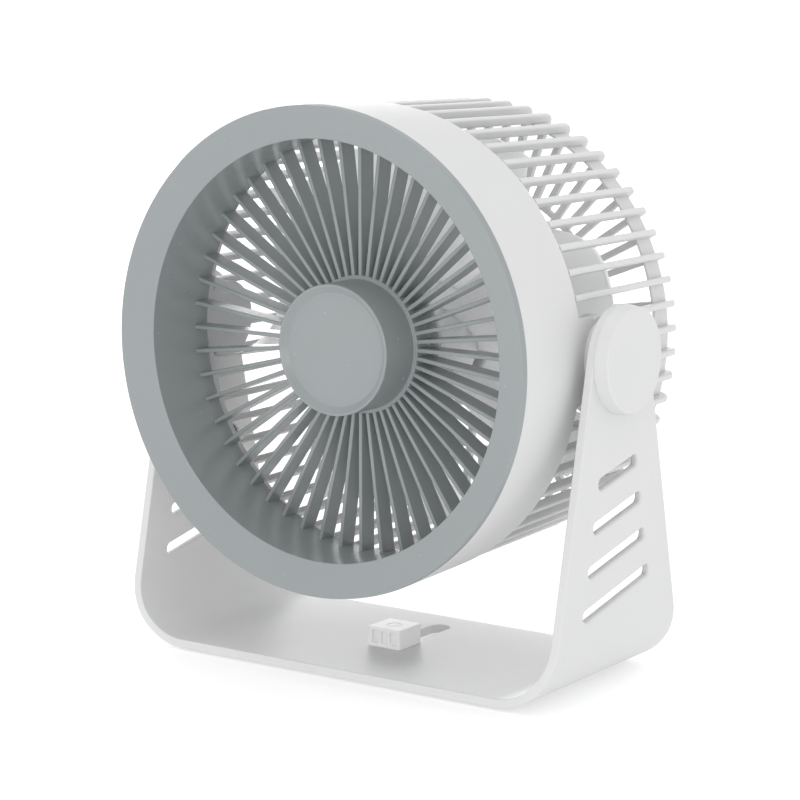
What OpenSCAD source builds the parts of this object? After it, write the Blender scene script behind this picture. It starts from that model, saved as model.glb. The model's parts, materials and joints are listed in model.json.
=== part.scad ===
// Desk fan: a round head with a radial grille, tilting in a bent U-shaped stand.
// Millimetres, +Z up. The origin is on the table, below the centre of the whole fan.
// The air leaves towards -Y. The head tilts about an axis along X, and the impeller
// turns about an axis along Y.

/* [Head] */
// Radius of the front bezel, the largest radius of the head
head_r = 100; // [96:1:104]
// Bezel's front plane, ahead of the tilt axis
front_d = 61.4; // [59:0.1:64]
// Rear face of the cage, behind the tilt axis
rear_d = 68.3; // [66:0.1:72]
// Height of the tilt axis above the table
axis_z = 137; // [132:1:145]
// Radius of the air outlet, inside the bezel
outlet_r = 87; // [85:0.5:88]
// Where the white drum ends and the open cage begins, ahead of the tilt axis
drum_end = 14.5; // [12:0.5:16]

/* [Front grille] */
// Number of radial fins
fin_count = 52; // [36:4:60]
// Thickness of a fin
fin_t = 1.7; // [1.2:0.1:1.8]
// Depth of a fin, along the air flow
fin_depth = 9; // [7:0.5:10]
// Fins' front edge, ahead of the tilt axis
fin_front = 28; // [26:0.5:30]
// Radius of the hub barrel
hub_r = 27; // [24:0.5:28]
// Hub barrel's front, ahead of the tilt axis
hub_front = 47.7; // [44:0.1:52]

/* [Rear cage] */
// Number of ribs round the cage
rib_count = 58; // [54:2:58]
// Width of a rib
rib_w = 2.8; // [2.2:0.1:3.2]
// Radial thickness of a rib
rib_t = 4; // [3:0.1:4.5]

/* [Impeller] */
// Number of blades
blade_count = 7; // [5:1:7]
// Radius at the blade tips
blade_r = 86; // [80:0.5:87]
// Radius of the impeller's hub
impeller_hub_r = 25; // [25:0.1:26]

/* [Stand] */
// Width of the stand, over its two arms
stand_w = 215.5; // [215:0.5:222]
// Depth of the stand's foot
stand_d = 98; // [90:1:110]
// Thickness of the stand's plate
plate_t = 3.75; // [3.5:0.05:4]
// Outer radius of the two bends
bend_r = 28; // [26:0.1:32]
// Radius of the round pivot caps
cap_r = 21.8; // [20:0.1:22]

/* [Hidden] */

grey = "#a6abac";
white = "#ececec";
steel = "#b9bcc0";
fn_big = 120;
fn_mid = 64;
fn_small = 40;

// The head's own frame: X is the tilt axis and Y the fan axis, crossing in its origin.
pivot_y = (front_d - rear_d) / 2;
pad_h = 1;
fit = 0.05;

// Stand
half_w = stand_w / 2;
arm_in = half_w - plate_t;
arm_lean = 0.217;
arm_end_r = 21.5;
plate_top = pad_h + plate_t;
foot_line = pad_h + 13.2;
pad_r = 6.8;
slot_w = 4.85;
slot_tilt = 11.7;
slot_pitch = 16.5;
slot_y = -1.4;
slot_low = pad_h + 41;
slot_low_len = 53;
slot_step = 7.3;
bush_r = 6;
shoulder_r = 4;
cap_h = 6;
cap_skin = 1.8;
peg_r = 1.5;
peg_at = 13.6;

// Hook block on the foot
hook_w = 16.4;
hook_d = 16.3;
hook_h = 8.65;
hook_y = -3.2;
rail_w = 9;
rail_from = -10;
rail_to = 35.5;
rail_recess = 1.9;
hook_key_d = 12.8;

// Head, as radii and as Y in the head's frame
wall = 2.4;
drum_taper = 1.4;
bezel_side = 3;
bezel_dish = 4.5;
rim_t = 2;
funnel_end = -(fin_front - fin_depth) - rim_t;
drum_rear_r = head_r - drum_taper;
boss_r = 19;
boss_in = 90;
boss_out = arm_in - 0.8;
insert_r = 4.4;

// Cage
cage_front = -drum_end + 0.2;
collar_in = 91.3;
collar_out = 95;
rib_front_r = 98;
rib_rear_r = 95.9;
hoop_in = 91.2;
hoop_out = 92.4;
hoop_w = 10.5;
bar_t = 4;
mid_ring_r = 58;
cup_out = 27.5;
cup_in = 25.5;
cup_front = 28.5;
cup_plate = 2.5;
post_r = 2.6;
post_at = 20.5;
rib_phase = 2.2;
screw_at = 93.2;
screw_angles = [90, 210, 330];
// The screws from the cage into the drum stand midway between two ribs
function gap_near(a) =
    rib_phase + (round((a - rib_phase) * rib_count / 360 - 0.5) + 0.5) * 360 / rib_count;
shell_angles = [for (a = screw_angles) gap_near(a)];

// Motor, along Y in the head's frame
shaft_r = 1.5;
bearing_r = 4;
tube_r = 6.4;
impeller_front = -4;
impeller_rear = 24;
board_y = 57;
cover_y = 65.3;
cover_t = 2;
button_r = 5.4;
button_z = 8;
usb_z = -11;

// ---- Helpers ----

module in_head() translate([0, pivot_y, axis_z]) children();

// A profile of [radius, y] points, turned round the fan axis
module turned(profile, fn = fn_big)
    in_head() rotate([-90, 0, 0]) rotate_extrude($fn = fn) polygon(profile);

// A tube or disc on the fan axis, from y0 to y1
module ring(r_out, r_in, y0, y1, fn = fn_big)
    turned([[r_in, y0], [r_out, y0], [r_out, y1], [r_in, y1]], fn);

// Turns its children, drawn at +X, to an angle round the fan axis
module at_angle(a) rotate([0, -a, 0]) children();

// A rod along Y in the head's frame, at a radius and an angle
module rod_y(r, at, a, y0, y1, fn = fn_small)
    at_angle(a) translate([at, y0, 0]) rotate([-90, 0, 0]) cylinder(r = r, h = y1 - y0, $fn = fn);

// A rod along X, given from x0 to x1 with 0 < x0 < x1; side is 1 or -1
module rod_x(side, r, x0, x1, fn = fn_mid)
    in_head() rotate([0, side * 90, 0]) translate([0, 0, x0]) cylinder(r = r, h = x1 - x0, $fn = fn);

module tube_x(side, r, r_in, x0, x1, fn = fn_mid)
    difference() {
        rod_x(side, r, x0, x1, fn);
        rod_x(side, r_in, x0 - 1, x1 + 1, fn);
    }

// Points along an arc, for round ends that run into straight sides
function arc_points(r, cx, cy, a0, a1, n) =
    [for (i = [0:n]) let (a = a0 + (a1 - a0) * i / n) [cx + r * cos(a), cy + r * sin(a)]];

// Outline of a slot with round ends, along its first axis
function slot_outline(len, w) = concat(
    arc_points(w / 2, (len - w) / 2, 0, -90, 90, 8),
    arc_points(w / 2, -(len - w) / 2, 0, 90, 270, 8));

// ---- Stand ----

// The U seen from the front, with thickness removed from all its sides
module stand_u(inset) {
    r = bend_r - inset;
    w = half_w - inset;
    points = concat(
        [[w, axis_z + 60]],
        arc_points(r, w - r, pad_h + bend_r, 0, -90, 18),
        arc_points(r, -(w - r), pad_h + bend_r, -90, -180, 18),
        [[-w, axis_z + 60]]);
    polygon(points);
}

// The arm seen from the side: a wide foot that narrows to a round end
module arm_outline() {
    lean = atan(arm_lean);
    polygon(concat(
        [[-stand_d / 2, 0], [stand_d / 2, 0], [stand_d / 2, foot_line]],
        arc_points(arm_end_r, 0, axis_z, lean, 180 - lean, 18),
        [[-stand_d / 2, foot_line]]));
}

module arm_slots()
    for (i = [0:3])
        translate([0, pivot_y + slot_y, slot_low + i * slot_pitch])
            rotate([slot_tilt, 0, 0]) rotate([90, 0, 90])
                linear_extrude(height = 2 * half_w + 20, center = true)
                    polygon(slot_outline(slot_low_len - i * slot_step, slot_w));

module stand_bracket() {
    color(white)
        difference() {
            intersection() {
                translate([0, pivot_y + stand_d / 2 + 1, 0]) rotate([90, 0, 0])
                    linear_extrude(height = stand_d + 2)
                        difference() {
                            stand_u(0);
                            stand_u(plate_t);
                        }
                translate([-half_w - 1, pivot_y, 0]) rotate([90, 0, 90])
                    linear_extrude(height = stand_w + 2) arm_outline();
            }
            arm_slots();
            for (side = [-1, 1]) {
                rod_x(side, bush_r, arm_in - 1, half_w + 1);
                cap_pegs(side, peg_r + fit, arm_in - 1, half_w + 1);
            }
            // Rail for the hook block, with a wider recess below for its retainer
            translate([0, pivot_y, 0]) linear_extrude(height = 10)
                polygon(concat(
                    [[-rail_w / 2, rail_from], [rail_w / 2, rail_from]],
                    arc_points(rail_w / 2, 0, rail_to - rail_w / 2, 0, 180, 12)));
            translate([-hook_w / 2 - 0.3, pivot_y + rail_from - 4, 0])
                cube([hook_w + 0.6, rail_to - rail_from + 8, pad_h + rail_recess]);
            foot_positions() translate([0, 0, pad_h - 1]) cylinder(r = pad_r + 0.1, h = 2, $fn = fn_small);
        }
}

module foot_positions()
    for (x = [-1, 1], y = [-1, 1])
        translate([x * (half_w - bend_r - 8), pivot_y + y * (stand_d / 2 - 11), 0]) children();

module foot_pads() {
    color("#c9cccd") foot_positions() cylinder(r = pad_r, h = pad_h + 1, $fn = fn_small);
}

module pivot_bushes() {
    color("#8d9193")
        for (side = [-1, 1])
            difference() {
                union() {
                    rod_x(side, bush_r, arm_in, half_w);
                    rod_x(side, bush_r + 3, half_w, half_w + 0.8);
                }
                rod_x(side, shoulder_r + fit, arm_in - 1, half_w + 2);
            }
}

module friction_washers() {
    color("#77797b")
        for (side = [-1, 1]) tube_x(side, 15, bush_r + 0.4, arm_in - 0.7, arm_in);
}

module cap_pegs(side, r, x0, x1)
    for (a = [30:120:270])
        translate([0, peg_at * cos(a), peg_at * sin(a)]) rod_x(side, r, x0, x1, fn_small);

// A shallow cap that hides the pivot screw, with three pegs that snap into the arm
module pivot_cap(side) {
    color(white) {
        difference() {
            rod_x(side, cap_r, half_w, half_w + cap_h, fn_big);
            rod_x(side, cap_r - 5, half_w - 1, half_w + cap_h - cap_skin);
        }
        cap_pegs(side, peg_r, half_w - plate_t + 0.6, half_w + cap_h - cap_skin / 2);
    }
}

module left_pivot_cap() { pivot_cap(-1); }
module right_pivot_cap() { pivot_cap(1); }

// ---- Wall hook on the foot ----

module hook_block() {
    color(white)
        difference() {
            translate([0, pivot_y + hook_y, 0]) union() {
                translate([-hook_w / 2, -hook_d / 2, plate_top]) cube([hook_w, hook_d, hook_h]);
                translate([-rail_w / 2 + 0.2, -hook_key_d / 2, pad_h + rail_recess])
                    cube([rail_w - 0.4, hook_key_d, plate_t - rail_recess]);
            }
            translate([0, pivot_y + hook_y, 0]) {
                // Three shallow pockets across the front
                for (i = [-1:1])
                    translate([i * 4.6 - 1.5, -hook_d / 2 - 1, plate_top + 1.8]) cube([3, 2.6, 5.4]);
                cylinder(r = 1.6, h = 40, $fn = fn_small);
                translate([0, 0, plate_top + hook_h - 1.6]) cylinder(r = 3.1, h = 5, $fn = fn_small);
            }
        }
}

module hook_screw() {
    color(steel)
        translate([0, pivot_y + hook_y, 0])
            difference() {
                union() {
                    translate([0, 0, pad_h + 0.5]) cylinder(r = 1.5, h = plate_t + hook_h - 1.9, $fn = fn_small);
                    translate([0, 0, plate_top + hook_h - 1.6]) cylinder(r = 2.9, h = 1.3, $fn = fn_small);
                }
                for (a = [0, 90])
                    rotate([0, 0, a]) translate([-1.6, -0.35, plate_top + hook_h - 1]) cube([3.2, 0.7, 2]);
            }
}

module hook_retainer() {
    color(steel)
        translate([0, pivot_y + hook_y, pad_h + 0.5])
            difference() {
                translate([-hook_w / 2, -hook_key_d / 2 - 1, 0]) cube([hook_w, hook_key_d + 2, 1.3]);
                translate([0, 0, -1]) cylinder(r = 1.5, h = 4, $fn = fn_small);
            }
}

// ---- Front of the head ----

module front_bezel() {
    color(grey)
        turned([
            [outlet_r, -(front_d - bezel_dish)],
            [head_r - 0.7, -front_d],
            [head_r - 0.4, -(front_d - 0.3)],
            [head_r, -(front_d - bezel_side)],
            [head_r - wall - 0.7, -(front_d - bezel_side)],
            [head_r - wall - 0.7, -(front_d - bezel_side - 5)],
            [head_r - wall - 2.7, -(front_d - bezel_side - 5)],
            [head_r - wall - 2.7, -(front_d - bezel_side - 0.6)],
            [outlet_r + 2, -(front_d - bezel_dish - 2)],
            [outlet_r + 2, funnel_end],
            [outlet_r, funnel_end]
        ]);
}

// Fins and hub barrel, with a rim that is welded to the funnel's end and flush with its inside
module front_grille() {
    color(grey) {
        in_head()
            for (i = [0:fin_count - 1])
                at_angle(-90 + i * 360 / fin_count) {
                    translate([hub_r + 0.8, -fin_front, -fin_t / 2])
                        cube([outlet_r - 0.1 - hub_r - 0.8, fin_depth, fin_t]);
                    translate([outlet_r - 2, funnel_end + 0.3, 0.1 - fin_t / 2])
                        cube([3, rim_t - 0.6, fin_t - 0.2]);
                }
        ring(outlet_r + 2, outlet_r, funnel_end, funnel_end + rim_t);
        turned([
            [hub_r - 2, -hub_front + 0.4],
            [hub_r - 1, -hub_front],
            [hub_r, -hub_front + 1],
            [hub_r, -fin_front - 0.3],
            [hub_r + 2.3, -fin_front - 0.3],
            [hub_r + 2.3, -fin_front + fin_depth + 0.3],
            [hub_r - 2, -fin_front + fin_depth + 0.3]
        ]);
    }
}

module hub_cap() {
    r = hub_r - 2.05;
    color(grey)
        turned([
            [0, -hub_front + 2.2],
            [r - 1.6, -hub_front + 2.2],
            [r, -hub_front + 0.5],
            [r, -hub_front + 7],
            [r - 1.6, -hub_front + 7],
            [r - 1.6, -hub_front + 4.2],
            [0, -hub_front + 4.2]
        ]);
}

// ---- Drum and cage ----

module drum_shell() {
    front = -(front_d - bezel_side) + 0.05;
    color(white)
        difference() {
            union() {
                turned([
                    [head_r - wall, front],
                    [head_r, front],
                    [drum_rear_r, -drum_end - 3],
                    [drum_rear_r - 0.6, -drum_end - 1.2],
                    [drum_rear_r - 2.4, -drum_end],
                    [collar_in, -drum_end],
                    [collar_in, -drum_end - 2.6],
                    [drum_rear_r - wall - 0.6, -drum_end - 2.6]
                ]);
                for (side = [-1, 1]) pivot_boss(side);
                in_head() for (a = shell_angles) rod_y(3.4, screw_at, a, -drum_end - 10, -drum_end);
            }
            for (side = [-1, 1]) rod_x(side, insert_r, boss_in + 1.5, boss_out + 1);
            in_head() for (a = shell_angles) rod_y(1.2, screw_at, a, -drum_end - 9, -drum_end + 1);
        }
}

// Round boss that carries the pivot, with a foot that runs into the drum wall
module pivot_boss(side) {
    rod_x(side, boss_r, boss_in + 0.5, boss_out - 3, fn_big);
    rod_x(side, boss_r - 2.5, boss_out - 4, boss_out, fn_big);
    in_head() translate([side * (boss_in + 6), -drum_end - 2, 0])
        cube([3.4, 20, 2 * (boss_r - 7)], center = true);
}

// A rib that turns the corner into a bar of the rear face, as far in as the inner radius
module cage_rib(inner) {
    top = rear_d - bar_t;
    front = cage_front + 0.3;
    translate([0, 0, -rib_w / 2])
        linear_extrude(height = rib_w)
            polygon(concat(
                [[rib_front_r - rib_t, front], [rib_front_r, front]],
                arc_points(3.5, rib_rear_r - 3.5, rear_d - 3.5, 0, 90, 4),
                [[inner, rear_d], [inner, top], [rib_rear_r - rib_t, top]]));
}

module rear_cage() {
    top = rear_d - bar_t;
    color(white)
        difference() {
            union() {
                // Every second bar ends at the ring in the middle of the rear face
                in_head() for (i = [0:rib_count - 1])
                    at_angle(rib_phase + i * 360 / rib_count) cage_rib(i % 2 == 0 ? cup_out - 1 : mid_ring_r);
                ring(collar_out, collar_in, cage_front, cage_front + 3.6);
                ring(hoop_out, hoop_in, top - hoop_w, top + 0.3);
                ring(mid_ring_r + 1.2, mid_ring_r - 1.2, top + 0.6, rear_d - 0.6);
                ring(cup_out, cup_in, cup_front, rear_d - 0.3);
                ring(cup_out - 0.5, 0, cup_front, cup_front + cup_plate);
                in_head() {
                    for (a = shell_angles) rod_y(3.4, screw_at, a, cage_front + 0.1, cage_front + 3.8);
                    for (a = screw_angles) rod_y(post_r, post_at, a, cup_front + 1, cover_y);
                    // Short legs that hold the board
                    for (a = screw_angles) rod_y(3, cup_in - 1.5, a + 60, cup_front + 1, board_y);
                }
            }
            for (side = [-1, 1]) rod_x(side, boss_r + 0.5, boss_in - 6, boss_out, fn_big);
            in_head() {
                for (a = shell_angles) rod_y(1.6, screw_at, a, cage_front - 1, cage_front + 6);
                for (a = screw_angles) rod_y(1, post_at, a, cover_y - 12, cover_y + 1);
                for (a = screw_angles) rod_y(1.25, 14, a, cup_front - 1, cup_front + cup_plate + 1);
                rod_y(tube_r + 0.1, 0, 0, cup_front - 1, cup_front + cup_plate + 1);
                translate([-11, cup_front - 1, -3]) cube([3, cup_plate + 2, 6]);
            }
        }
}

// A pan-head screw along Y: the head's flat side is at y0, and the shank goes to y1
module screw_y(at, a, r, y0, y1) {
    away = y1 < y0 ? 1 : -1;
    rod_y(r, at, a, min(y0, y1), max(y0, y1));
    rod_y(2 * r, at, a, min(y0, y0 + away * 1.3 * r), max(y0, y0 + away * 1.3 * r));
}

module shell_screws() {
    color(steel) in_head()
        for (a = shell_angles) screw_y(screw_at, a, 1.2, cage_front + 3.8, -drum_end - 8);
}

// ---- Pivots ----

module pivot_inserts() {
    color("#c9a24a")
        for (side = [-1, 1]) tube_x(side, insert_r, 2.5, boss_in + 1.5, boss_out - 1);
}

module pivot_screws() {
    color(steel)
        for (side = [-1, 1])
            difference() {
                union() {
                    rod_x(side, 2.5, boss_in + 2.5, boss_out - 1);
                    rod_x(side, shoulder_r, boss_out - 1, half_w + 1.5);
                    rod_x(side, 7, half_w + 1.5, half_w + 3.6);
                }
                in_head() rotate([0, side * 90, 0]) translate([0, 0, half_w + 2])
                    cylinder(r = 2, h = 3, $fn = 6);
            }
}

module wave_washers() {
    color("#9a9da0")
        for (side = [-1, 1]) tube_x(side, 7.6, shoulder_r + 0.3, half_w + 0.85, half_w + 1.45);
}

// ---- Motor ----

module motor_base() {
    color("#b4b7ba")
        difference() {
            union() {
                ring(tube_r, 0, 9.6, cup_front, fn_mid);
                ring(20, 0, cup_front - 2.2, cup_front, fn_mid);
            }
            ring(bearing_r, 0, 9, 13.6, fn_mid);
            ring(3, 0, 13, 21.5, fn_mid);
            ring(bearing_r, 0, 21, cup_front + 1, fn_mid);
            in_head() for (a = screw_angles) rod_y(1.2, 14, a, cup_front - 3, cup_front + 1);
        }
}

module motor_screws() {
    color(steel) in_head()
        for (a = screw_angles) screw_y(14, a, 1.2, cup_front + cup_plate, cup_front - 2);
}

module front_bearing() { color(steel) ring(bearing_r, shaft_r + fit, 10.4, 13.4, fn_mid); }
module rear_bearing() { color(steel) ring(bearing_r, shaft_r + fit, 21.1, 24.1, fn_mid); }

module stator_core() {
    color("#6f7276") {
        ring(10, tube_r, 11.5, 18.5, fn_mid);
        in_head() for (i = [0:8])
            at_angle(i * 40) translate([9.5, 11.7, -1.5]) cube([8, 6.6, 3]);
        difference() {
            ring(19.2, 16.8, 11.5, 18.5, fn_mid);
            in_head() for (i = [0:8])
                at_angle(i * 40 + 20) translate([15, 10, -0.9]) cube([6, 10, 1.8]);
        }
    }
}

module stator_coils() {
    color("#b87333") in_head()
        for (i = [0:8])
            at_angle(i * 40)
                difference() {
                    translate([10.6, 10.2, -3]) cube([5.6, 9.6, 6]);
                    translate([10, 11.4, -1.6]) cube([7, 7.2, 3.2]);
                }
}

module rotor_cup() {
    color("#9fa3a7")
        turned([
            [shaft_r, 6], [23.15, 6], [23.15, 22.5], [21.9, 22.5],
            [21.9, 7.2], [4, 7.2], [4, 8.6], [shaft_r, 8.6]
        ]);
}

module magnet_ring() { color("#4a4d50") ring(21.85, 19.9, 9, 21.5); }

module motor_shaft() { color(steel) ring(shaft_r, 0, -9.5, 26, fn_small); }

module shaft_clip() { color("#7d8084") ring(2.7, shaft_r, 24.8, 25.4, fn_small); }

module impeller_nut() {
    color("#8d9193")
        turned([
            [shaft_r, -10.5], [4, -10.5], [6, -9], [6, -5], [7, -5], [7, impeller_front], [shaft_r, impeller_front]
        ], fn_mid);
}

// ---- Impeller ----

// Camber line of a blade section, from the intake edge (s = 0) to the outlet edge (s = 1)
blade_root = impeller_hub_r - 1;
blade_phase = 8;
radial_steps = 7;
chord_steps = 8;

function mix(a, b, t) = a + (b - a) * t;
function span(i) = i / radial_steps;
function blade_radius(i) = mix(blade_root, blade_r, span(i));
function blade_angle(i, s) = mix(14, 4, span(i)) + mix(46, 44, span(i)) * s;
function blade_y(i, s) = mix(23, 30, pow(span(i), 0.7)) - mix(25, 35, span(i)) * pow(s, 1.5);
function blade_half(s) = 0.45 + 0.75 * sin(180 * s);
function blade_point(i, s, side) = let (r = blade_radius(i), a = blade_angle(i, s))
    [r * cos(a), blade_y(i, s) + side * blade_half(s), r * sin(a)];

// One closed loop of points round the section, then the next section outwards
section_count = 2 * (chord_steps + 1);
blade_points = [
    for (i = [0:radial_steps]) each concat(
        [for (j = [0:chord_steps]) blade_point(i, j / chord_steps, 1)],
        [for (j = [chord_steps:-1:0]) blade_point(i, j / chord_steps, -1)])
];
function loop_index(i, j) = i * section_count + j % section_count;
blade_faces = concat(
    [for (i = [0:radial_steps - 1], j = [0:section_count - 1])
        [loop_index(i, j), loop_index(i + 1, j), loop_index(i + 1, j + 1)]],
    [for (i = [0:radial_steps - 1], j = [0:section_count - 1])
        [loop_index(i, j), loop_index(i + 1, j + 1), loop_index(i, j + 1)]],
    [for (i = [0, radial_steps], j = [0:chord_steps - 1], half = [0, 1])
        let (a = loop_index(i, j), b = loop_index(i, j + 1),
             c = loop_index(i, section_count - 2 - j), d = loop_index(i, section_count - 1 - j),
             face = half == 0 ? [a, b, c] : [a, c, d])
        i == 0 ? face : [face[2], face[1], face[0]]]);

module impeller() {
    color("#f4f4f4")
        difference() {
            union() {
                turned([
                    [0, impeller_front],
                    [impeller_hub_r - 1.5, impeller_front],
                    [impeller_hub_r, impeller_front + 1.5],
                    [impeller_hub_r, impeller_rear],
                    [23.2, impeller_rear],
                    [23.2, -2],
                    [6, -2],
                    [6, 5.8],
                    [0, 5.8]
                ]);
                in_head()
                    for (i = [0:blade_count - 1])
                        at_angle(blade_phase + i * 360 / blade_count)
                            polyhedron(points = blade_points, faces = blade_faces, convexity = 4);
            }
            ring(23.2, 6.5, -1.9, impeller_rear + 8);
            ring(shaft_r, 0, -12, 30, fn_small);
        }
}

// ---- Electronics in the rear hub ----

module control_board() {
    color("#2f6b45")
        difference() {
            ring(cup_in - 0.3, 0, board_y, board_y + 1.6);
            in_head() for (a = screw_angles) rod_y(post_r + 0.3, post_at, a, board_y - 1, board_y + 3);
        }
}

module board_chips() {
    color("#2b2d2f") in_head() {
        translate([-17, board_y - 1.4, -4]) cube([5, 1.4, 5]);
        translate([8, board_y - 1.2, 4]) cube([7, 1.2, 4]);
        translate([-3, board_y - 6, -14]) cube([6, 6, 6]);
        rod_y(2.5, 12, 150, board_y - 7, board_y);
    }
}

module tact_switch() {
    color("#3a3c3e") in_head() {
        translate([-3, board_y + 1.6, button_z - 3]) cube([6, 2, 6]);
        translate([0, board_y + 3.6, button_z]) rotate([-90, 0, 0]) cylinder(r = 1.6, h = 1, $fn = fn_small);
    }
}

module motor_leads() {
    color("#b03a2e") in_head()
        for (i = [-1:1])
            translate([-9.5, cup_front - 2.2 + 2.3, i * 1.7]) rotate([-90, 0, 0])
                cylinder(r = 0.6, h = board_y - cup_front - 0.1, $fn = fn_small);
}

module usb_inlet() {
    color(steel) in_head()
        difference() {
            translate([-4.5, board_y + 1.6, usb_z - 1.65]) cube([9, 8, 3.3]);
            translate([-4.15, board_y + 2.6, usb_z - 1.3]) cube([8.3, 8, 2.6]);
        }
}

module status_lens() {
    color("#dff2ff") in_head()
        translate([0, board_y + 2.2, -1.5]) rotate([-90, 0, 0])
            cylinder(r = 1.2, h = cover_y + cover_t - board_y - 2.3, $fn = fn_small);
}

module rear_hub_cover() {
    color(white)
        difference() {
            union() {
                ring(cup_in - 0.15, 0, cover_y, cover_y + cover_t);
                ring(cup_in - 0.15, cup_in - 1.6, cover_y - 3, cover_y + 1);
            }
            in_head() {
                for (a = screw_angles) rod_y(post_r + 0.3, post_at, a, cover_y - 5, cover_y);
                for (a = screw_angles) rod_y(1.1, post_at, a, cover_y - 1, cover_y + 5);
                for (a = screw_angles) rod_y(2.3, post_at, a, cover_y + 1, cover_y + 5);
                translate([0, cover_y - 1, button_z]) rotate([-90, 0, 0])
                    cylinder(r = button_r + 0.35, h = 5, $fn = fn_mid);
                translate([0, cover_y - 1, -1.5]) rotate([-90, 0, 0]) cylinder(r = 1.3, h = 5, $fn = fn_small);
                translate([-4.9, cover_y - 1, usb_z - 2.05]) cube([9.8, 5, 4.1]);
            }
        }
}

module cover_screws() {
    color(steel) in_head()
        for (a = screw_angles) {
            rod_y(1, post_at, a, cover_y - 8, cover_y + 1);
            rod_y(2.1, post_at, a, cover_y + 1, cover_y + 1.9);
        }
}

module power_button() {
    face = cover_y + cover_t + 1;
    color("#d5d8da")
        in_head() translate([0, 0, button_z]) rotate([-90, 0, 0]) {
            translate([0, 0, board_y + 5.3]) cylinder(r = 2, h = face - board_y - 6, $fn = fn_small);
            translate([0, 0, cover_y - 1.4]) cylinder(r = button_r, h = face - cover_y + 1.4, $fn = fn_mid);
            translate([0, 0, cover_y - 1.4]) cylinder(r = button_r + 1.2, h = 1, $fn = fn_mid);
        }
}

stand_bracket();
foot_pads();
pivot_bushes();
friction_washers();
left_pivot_cap();
right_pivot_cap();
hook_block();
hook_screw();
hook_retainer();
front_bezel();
front_grille();
hub_cap();
drum_shell();
rear_cage();
shell_screws();
pivot_inserts();
pivot_screws();
wave_washers();
motor_base();
motor_screws();
front_bearing();
rear_bearing();
stator_core();
stator_coils();
control_board();
board_chips();
tact_switch();
motor_leads();
usb_inlet();
status_lens();
rear_hub_cover();
cover_screws();
impeller();
rotor_cup();
magnet_ring();
motor_shaft();
impeller_nut();
shaft_clip();
power_button();
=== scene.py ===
import json
import math

import bmesh
import bpy
import numpy as np
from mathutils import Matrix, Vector
from mathutils.geometry import delaunay_2d_cdt


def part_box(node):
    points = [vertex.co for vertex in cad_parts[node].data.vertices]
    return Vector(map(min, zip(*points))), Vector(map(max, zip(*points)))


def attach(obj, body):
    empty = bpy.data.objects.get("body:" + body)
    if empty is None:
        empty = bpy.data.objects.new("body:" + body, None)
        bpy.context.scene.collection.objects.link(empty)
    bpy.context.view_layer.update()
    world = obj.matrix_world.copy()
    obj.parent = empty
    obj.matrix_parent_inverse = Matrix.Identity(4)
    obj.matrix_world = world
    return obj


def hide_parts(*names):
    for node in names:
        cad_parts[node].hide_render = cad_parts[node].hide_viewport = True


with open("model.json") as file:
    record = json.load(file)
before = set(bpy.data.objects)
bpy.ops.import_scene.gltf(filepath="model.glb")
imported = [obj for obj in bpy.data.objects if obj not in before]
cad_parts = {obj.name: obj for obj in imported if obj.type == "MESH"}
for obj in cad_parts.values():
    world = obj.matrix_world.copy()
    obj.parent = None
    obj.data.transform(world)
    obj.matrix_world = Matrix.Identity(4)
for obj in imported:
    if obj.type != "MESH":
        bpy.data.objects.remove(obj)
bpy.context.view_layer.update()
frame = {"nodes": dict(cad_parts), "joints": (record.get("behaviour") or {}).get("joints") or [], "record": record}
MM = 0.001

# ---- Places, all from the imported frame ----
# Sizes are in millimetres. Places on the head are measured from PIVOT, where the tilt axis
# crosses the fan axis, and places on the stand and the hook from the frame's origin.

JOINTS = {j["name"]: j for j in frame["joints"]}
PIVOT = Vector(JOINTS["head_tilt"]["pos_m"])


def box_mm(node, from_point=(0, 0, 0)):
    """A node's lowest and highest corner, in millimetres from a point."""
    low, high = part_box(node)
    origin = Vector(from_point)
    return (Vector(low) - origin) / MM, (Vector(high) - origin) / MM


BEZEL_LOW, BEZEL_HIGH = box_mm("front_bezel", PIVOT)
GRILLE_LOW, GRILLE_HIGH = box_mm("front_grille", PIVOT)
CAGE_LOW, CAGE_HIGH = box_mm("rear_cage", PIVOT)
DRUM_LOW, DRUM_HIGH = box_mm("drum_shell", PIVOT)
STAND_LOW, STAND_HIGH = box_mm("stand_bracket")
CAP_HIGH = box_mm("right_pivot_cap", PIVOT)[1]
HUB_HIGH = box_mm("hub_cap", PIVOT)[1]
IMPELLER_LOW = box_mm("impeller", PIVOT)[0]
BLOCK_LOW, BLOCK_HIGH = box_mm("hook_block")
PADS_HIGH = box_mm("foot_pads")[1]
COVER_HIGH = box_mm("rear_hub_cover", PIVOT)[1]
BUTTON_LOW, BUTTON_HIGH = box_mm("power_button", PIVOT)

# Front of the head
HEAD_R = BEZEL_HIGH.x
FACE_W = 13                             # width of the grey ring's face
OUTLET_R = HEAD_R - FACE_W
FRONT = BEZEL_LOW.y
FUNNEL_END = BEZEL_HIGH.y
HUB_FRONT = GRILLE_LOW.y
HUB_R = HUB_HIGH.x + 2.05               # outside of the hub barrel
FIN_COUNT = 52
FIN_T = 1.7
FIN_DEPTH = 9
FIN_REAR = GRILLE_HIGH.y - 0.3
FIN_FRONT = FIN_REAR - FIN_DEPTH

# Drum and cage
DRUM_FRONT = DRUM_LOW.y
DRUM_END = CAGE_LOW.y - 0.2
BOSS_OUT = DRUM_HIGH.x
REAR = CAGE_HIGH.y
RIB_COUNT = 58
RIB_PHASE = 2.2                         # degrees
RIB_W, RIB_DEPTH = 2.8, 4.0
CUP_R = 27.5                            # motor cup in the cage's middle
MID_RING_R = 58.0                       # every second rear bar ends here

# Impeller
BLADE_COUNT = 7
BLADE_ROOT_R, BLADE_TIP_R = 24, 86
BLADE_PHASE = 8                         # degrees

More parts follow.
